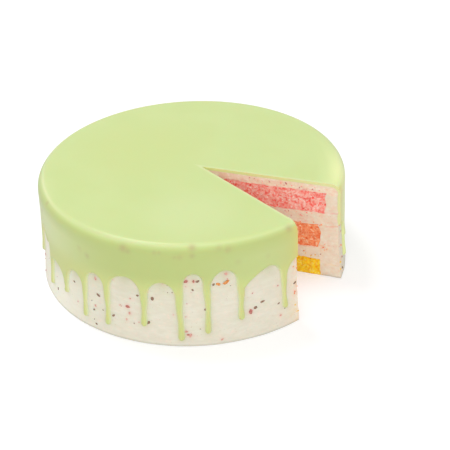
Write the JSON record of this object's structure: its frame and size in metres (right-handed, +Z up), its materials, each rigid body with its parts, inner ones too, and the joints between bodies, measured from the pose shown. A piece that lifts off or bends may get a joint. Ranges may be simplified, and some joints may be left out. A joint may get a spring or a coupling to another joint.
{
  "type": "drip cake",
  "caption": "Round layer cake with one wedge cut out: coloured sponges and cream inside a flecked cream coat, under a smooth poured glaze that runs down the side in drips.",
  "frame": {"origin": "on the cake's axis, at the base that it stands on", "axes": "+Z up; +X the way the notch opens"},
  "size_m": [0.242, 0.2459, 0.084],
  "materials": {
    "yellow_sponge": "crumbly and matte",
    "orange_sponge": "crumbly and matte",
    "pink_sponge": "crumbly and matte",
    "cream": "smooth and satin, with red and brown fruit flakes",
    "glaze": "glossy poured glaze"
  },
  "bodies": {
    "root": {"sponge_bottom": "yellow_sponge", "filling_lower": "cream", "sponge_middle": "orange_sponge", "filling_upper": "cream", "sponge_top": "pink_sponge", "cream_coat": "cream", "glaze": "glaze"}
  },
  "joints": []
}
